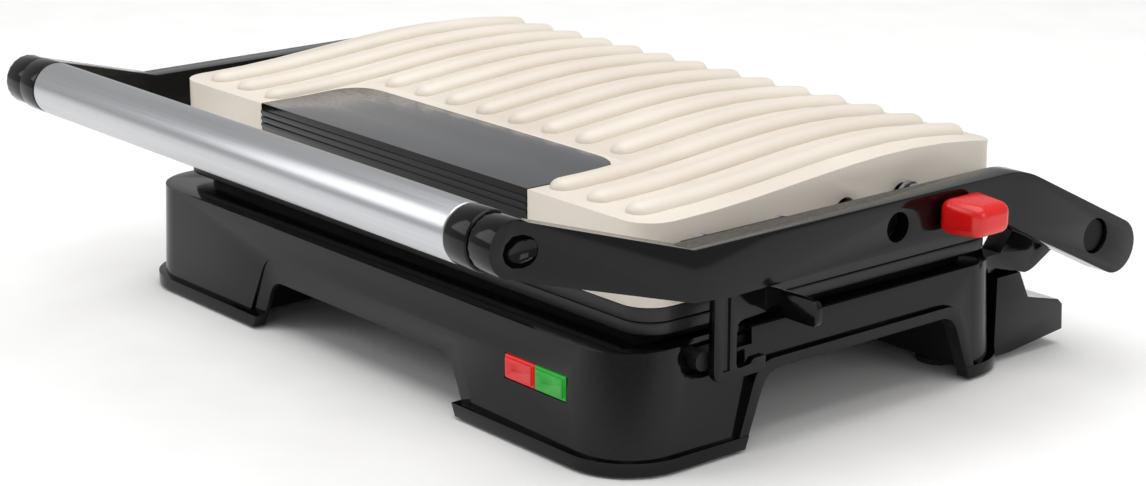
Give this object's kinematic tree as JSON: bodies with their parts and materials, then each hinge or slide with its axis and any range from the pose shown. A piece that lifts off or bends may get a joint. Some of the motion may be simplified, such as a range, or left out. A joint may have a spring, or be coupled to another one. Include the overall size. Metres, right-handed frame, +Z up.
{
  "type": "panini press",
  "caption": "Electric contact grill with a ribbed floating lid between two hinged arms, a tube handle, and a plinth base with cut-out sides.",
  "frame": {"origin": "bottom centre of the whole part's bounding box, on the surface it stands on", "axes": "+X to the user's right as they face the handle, +Y towards the rear hinge, +Z up"},
  "size_m": [0.3116, 0.2558, 0.0879],
  "materials": {
    "black_gloss": "moulded high gloss",
    "black_satin": "moulded satin",
    "cream": "moulded satin",
    "badge_grey": "moulded high gloss",
    "nonstick": "die-cast, black non-stick coating",
    "aluminium": "drawn, satin",
    "steel": "plain",
    "red_plastic": "moulded high gloss",
    "red_lens": "clear tinted, polished",
    "green_lens": "clear tinted, polished",
    "rubber": "moulded",
    "ceramic": "plain",
    "circuit_board": "plain",
    "wire_sleeve": "glass-fibre sleeve"
  },
  "bodies": {
    "base": {"base_housing": "black_gloss", "bottom_cover": "black_satin", "foot_front_right": "rubber", "foot_front_left": "rubber", "foot_rear_right": "rubber", "foot_rear_left": "rubber", "base_screw_1": "steel", "base_screw_2": "steel", "base_screw_3": "steel", "base_screw_4": "steel", "lower_plate": "nonstick", "lower_element": "steel", "lower_reflector": "steel", "lower_thermostat": "ceramic", "lower_thermal_fuse": "steel", "red_lens": "red_lens", "green_lens": "green_lens", "red_lamp": "red_lens", "green_lamp": "green_lens", "indicator_board": "circuit_board", "terminal_block": "ceramic", "cord_gland": "rubber", "supply_lead": "wire_sleeve", "latch_catch": "black_satin"},
    "handle_frame": {"right_arm": "black_gloss", "left_arm": "black_gloss", "handle_tube": "aluminium", "right_ferrule": "black_gloss", "left_ferrule": "black_gloss", "right_handle_bolt": "steel", "left_handle_bolt": "steel", "hinge_shaft": "steel", "right_hinge_bolt": "steel", "left_hinge_bolt": "steel", "rear_crossbeam": "black_satin", "right_lid_pivot": "steel", "left_lid_pivot": "steel", "knob_spring": "steel", "latch_guide": "black_satin", "guide_screw_1": "steel", "guide_screw_2": "steel"},
    "lid": {"lid_cover": "cream", "badge_panel": "badge_grey", "upper_plate": "nonstick", "upper_element": "steel", "upper_reflector": "steel", "upper_thermostat": "ceramic", "upper_thermal_fuse": "steel", "lid_frame": "steel", "lid_screw_1": "steel", "lid_screw_2": "steel", "lid_screw_3": "steel", "lid_screw_4": "steel"},
    "knob": {"release_knob": "red_plastic", "spring_clip": "steel"},
    "latch": {"latch_slider": "black_gloss"}
  },
  "joints": [
    {"name": "frame_hinge", "type": "hinge", "parent": "base", "child": "handle_frame", "pos_m": [-0.00815, 0.10789, 0.04375], "axis": [-1, 0, 0], "range_deg": [0, 178]},
    {"name": "lid_float", "type": "hinge", "parent": "handle_frame", "child": "lid", "pos_m": [-0.00815, 0.01529, 0.0636], "axis": [-1, 0, 0], "range_deg": [0, 2.01]},
    {"name": "knob_pull", "type": "slide", "parent": "handle_frame", "child": "knob", "axis": [1, 0, 0], "range_m": [0, 0.005], "stiffness_N_per_m": 300, "deforming": ["knob_spring"]},
    {"name": "latch_slide", "type": "slide", "parent": "handle_frame", "child": "latch", "axis": [0, -1, 0], "range_m": [0, 0.008]}
  ],
  "couplings": [
    {"joint": "lid_float", "follows": "frame_hinge", "ratio": 0.011236}
  ]
}
